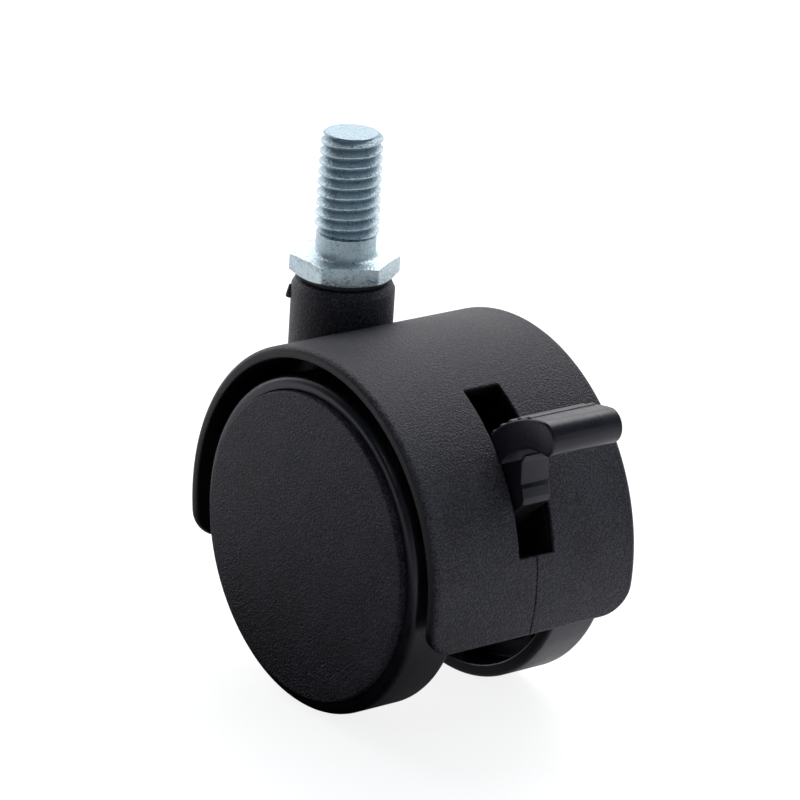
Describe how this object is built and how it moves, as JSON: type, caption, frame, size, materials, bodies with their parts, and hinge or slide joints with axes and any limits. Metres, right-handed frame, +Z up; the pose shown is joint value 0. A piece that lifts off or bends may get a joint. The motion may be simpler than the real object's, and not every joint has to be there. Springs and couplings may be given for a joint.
{
  "type": "chair caster wheel",
  "caption": "Hooded twin-wheel swivel caster with a threaded stem, hex flange and a brake pedal that comes through a slot in the back of the hood.",
  "frame": {"origin": "on the stem axis, at the top face of the hex flange that seats on the furniture", "axes": "+Z up along the threaded stem, +X towards the brake pedal, +Y along the axle"},
  "size_m": [0.054, 0.032, 0.064],
  "materials": {
    "zinc_plated_steel": "bright zinc plating with a faint blue tint",
    "bright_steel": "drawn steel wire, satin",
    "spring_steel": "dark oiled spring steel",
    "moulded_black_nylon": "black nylon with a fine spark-eroded grain",
    "smooth_black_nylon": "black nylon, smooth satin",
    "natural_nylon": "dark grey nylon, smooth"
  },
  "bodies": {
    "stem": {"threaded_stem": "zinc_plated_steel", "stem_snap_ring": "spring_steel"},
    "swivel_housing": {"housing": "moulded_black_nylon", "thrust_washer": "natural_nylon", "axle_pin": "bright_steel", "brake_pivot_pin": "bright_steel", "left_push_nut": "spring_steel", "right_push_nut": "spring_steel", "left_hub_washer": "bright_steel", "right_hub_washer": "bright_steel"},
    "left_wheel_set": {"left_wheel": "smooth_black_nylon", "left_wheel_cover": "moulded_black_nylon"},
    "right_wheel_set": {"right_wheel": "smooth_black_nylon", "right_wheel_cover": "moulded_black_nylon"},
    "brake": {"brake_lever": "smooth_black_nylon", "brake_rod": "bright_steel"}
  },
  "joints": [
    {"name": "swivel", "type": "hinge", "parent": "stem", "child": "swivel_housing", "pos_m": [0, 0, -0.013], "axis": [0, 0, 1], "continuous": true},
    {"name": "left_wheel_spin", "type": "hinge", "parent": "swivel_housing", "child": "left_wheel_set", "pos_m": [0.015, -0.0112, -0.02895], "axis": [0, 1, 0], "continuous": true},
    {"name": "right_wheel_spin", "type": "hinge", "parent": "swivel_housing", "child": "right_wheel_set", "pos_m": [0.015, 0.0112, -0.02895], "axis": [0, 1, 0], "continuous": true},
    {"name": "brake_pedal", "type": "hinge", "parent": "swivel_housing", "child": "brake", "pos_m": [0.024, 0, -0.02895], "axis": [0, 1, 0], "range_deg": [-21, 18]}
  ]
}
